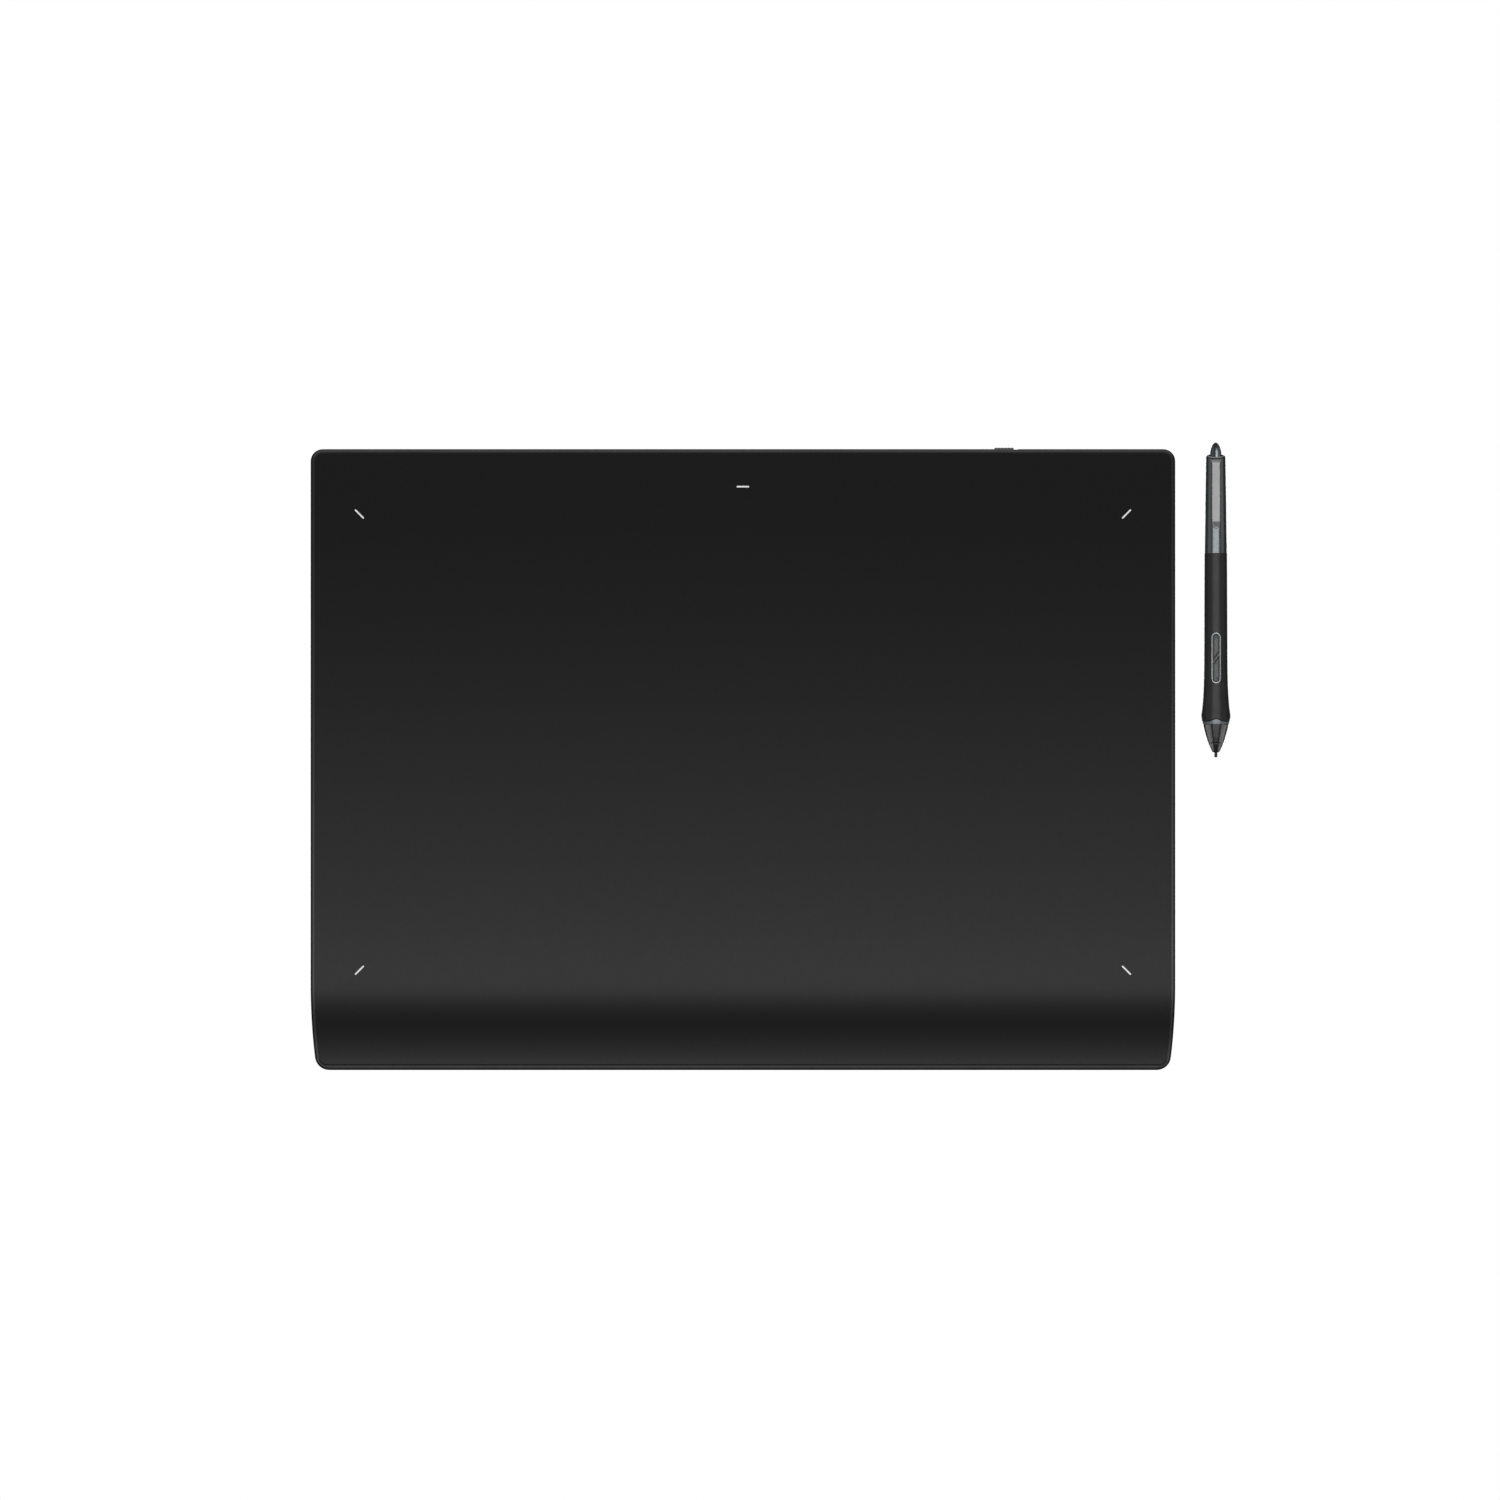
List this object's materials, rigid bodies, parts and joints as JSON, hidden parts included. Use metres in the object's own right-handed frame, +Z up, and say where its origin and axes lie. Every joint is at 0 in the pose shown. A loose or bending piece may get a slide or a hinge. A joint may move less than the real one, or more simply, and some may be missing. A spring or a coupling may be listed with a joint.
{
  "type": "pen drawing tablet",
  "caption": "Slim pen drawing tablet with a rolled front palm rest, corner light marks, rear power slider and USB-C socket, and its cordless pen lying beside it.",
  "frame": {"origin": "centre of the tablet's footprint on the desk, on the underside of the centre foot", "axes": "+X to the right of a person drawing, +Y away from them towards the rear edge with the socket, +Z up out of the work surface"},
  "size_m": [0.4569, 0.3118, 0.0145],
  "materials": {
    "work_surface_plastic": "fine matte drawing texture",
    "anodised_shell": "fine-blasted, dark anodised, satin",
    "frame_plastic": "moulded, plain",
    "light_guide": "milky clear",
    "circuit_board": "green solder mask",
    "led": "clear over phosphor",
    "shield": "thin sheet",
    "foam": "closed-cell foam",
    "chip": "moulded epoxy",
    "antenna_copper": "gold-plated copper on film",
    "flat_cable": "flat film cable",
    "battery_foil": "laminated foil",
    "wire": "insulated wire",
    "socket_steel": "bright",
    "socket_plastic": "black liquid-crystal polymer",
    "slider_plastic": "ribbed",
    "stub_plastic": "white switch plastic",
    "foot_rubber": "soft, matt",
    "black_screw": "black oxide",
    "zinc_screw": "zinc plated",
    "nib_plastic": "acetal",
    "carrier_plastic": "acetal, natural",
    "nose_plastic": "semi-gloss",
    "ring_metal": "satin blue-grey",
    "grip_soft": "soft-touch, matt",
    "bezel_metal": "satin chrome",
    "key_plastic": "satin",
    "ferrite": "sintered ferrite",
    "copper_winding": "enamelled copper wire",
    "sensor_ceramic": "ceramic capacitor",
    "gunmetal": "satin bluish gunmetal",
    "clip_metal": "satin",
    "eraser_plastic": "semi-gloss"
  },
  "bodies": {
    "tablet": {"work_surface": "work_surface_plastic", "inner_frame": "frame_plastic", "rear_cover": "anodised_shell", "status_light_guide": "light_guide", "corner_light_guides": "light_guide", "status_led_board": "circuit_board", "corner_leds": "led", "sensor_board": "circuit_board", "shield_plate": "shield", "support_pads": "foam", "main_board": "circuit_board", "board_chips": "chip", "bluetooth_antenna": "antenna_copper", "sensor_ribbon": "flat_cable", "battery": "battery_foil", "battery_lead": "wire", "usb_c_shell": "socket_steel", "usb_c_tongue": "socket_plastic", "slide_switch": "socket_steel", "front_feet": "foot_rubber", "rear_feet": "foot_rubber", "centre_foot": "foot_rubber", "case_screws": "black_screw", "board_screws": "zinc_screw"},
    "power_slider": {"power_slider": "slider_plastic"},
    "switch_stub": {"switch_stub": "stub_plastic"},
    "pen": {"nose_tip": "nose_plastic", "nose_cone": "nose_plastic", "accent_ring": "ring_metal", "grip_barrel": "grip_soft", "key_bezel": "bezel_metal", "key_switches": "socket_steel", "pen_board": "circuit_board", "pen_chips": "chip", "pen_chassis": "frame_plastic", "ferrite_core": "ferrite", "antenna_coil": "copper_winding", "pressure_sensor": "sensor_ceramic", "barrel_joiner": "frame_plastic", "upper_barrel": "gunmetal", "eraser_sensor": "sensor_ceramic", "tail_coil": "copper_winding", "tail_wires": "wire"},
    "nib": {"pen_nib": "nib_plastic", "nib_holder": "carrier_plastic"},
    "eraser": {"eraser_tip": "eraser_plastic", "eraser_holder": "carrier_plastic"},
    "front_key": {"key_front": "key_plastic"},
    "rear_key": {"key_rear": "key_plastic"},
    "clip": {"pen_clip": "clip_metal"}
  },
  "joints": [
    {"name": "power_slider_slide", "type": "slide", "parent": "tablet", "child": "power_slider", "axis": [1, 0, 0], "range_m": [0, 0.002]},
    {"name": "switch_stub_slide", "type": "slide", "parent": "tablet", "child": "switch_stub", "axis": [1, 0, 0], "range_m": [0, 0.002]},
    {"name": "pen_lift", "type": "slide", "parent": "tablet", "child": "pen", "axis": [0, 0, 1], "range_m": [0, 0.12]},
    {"name": "nib_press", "type": "slide", "parent": "pen", "child": "nib", "axis": [0, 0.9998, -0.0186], "range_m": [0, 0.0008]},
    {"name": "eraser_press", "type": "slide", "parent": "pen", "child": "eraser", "axis": [0, -0.9998, 0.0186], "range_m": [0, 0.0008]},
    {"name": "front_key_press", "type": "slide", "parent": "pen", "child": "front_key", "axis": [0, -0.0186, -0.9998], "range_m": [0, 0.0003]},
    {"name": "rear_key_press", "type": "slide", "parent": "pen", "child": "rear_key", "axis": [0, -0.0186, -0.9998], "range_m": [0, 0.0003]},
    {"name": "clip_flex", "type": "hinge", "parent": "pen", "child": "clip", "pos_m": [0.2349, 0.14787, 0.00982], "axis": [-1, 0, 0], "range_deg": [0, 3]}
  ],
  "couplings": [
    {"joint": "switch_stub_slide", "follows": "power_slider_slide", "ratio": 1}
  ]
}
